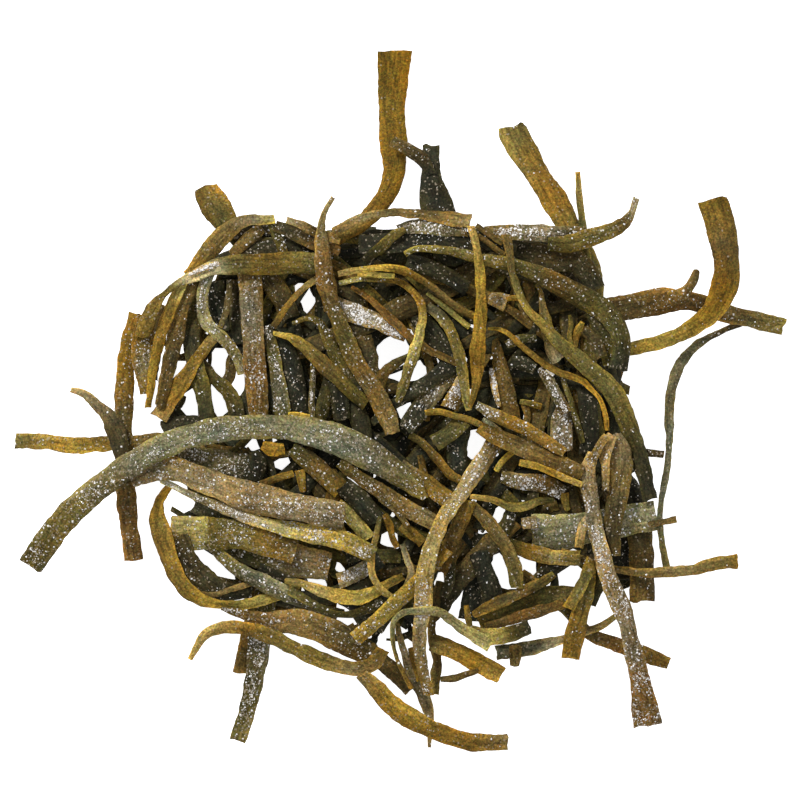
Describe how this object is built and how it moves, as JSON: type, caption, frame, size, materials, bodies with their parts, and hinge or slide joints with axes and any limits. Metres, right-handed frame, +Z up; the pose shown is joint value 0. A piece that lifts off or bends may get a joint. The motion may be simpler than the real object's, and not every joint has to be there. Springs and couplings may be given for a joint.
{
  "type": "dried sea spaghetti heap",
  "caption": "Loose, tangled heap of cut, flat, dried seaweed straps, olive to ochre brown and dusted with salt, lying on a surface as one piece.",
  "frame": {"origin": "on the surface that the heap lies on, under the middle of its whole spread", "axes": "+Z up, away from the surface; +X along the heap's longer spread, the way that the lone thin curl lies; +Y towards the single broad strap that sticks out alone"},
  "size_m": [0.1156, 0.105, 0.0153],
  "materials": {
    "seaweed": "matt, dry, finely grained, with glints of salt"
  },
  "bodies": {
    "root": {"sea_spaghetti_heap": "seaweed"}
  },
  "joints": []
}
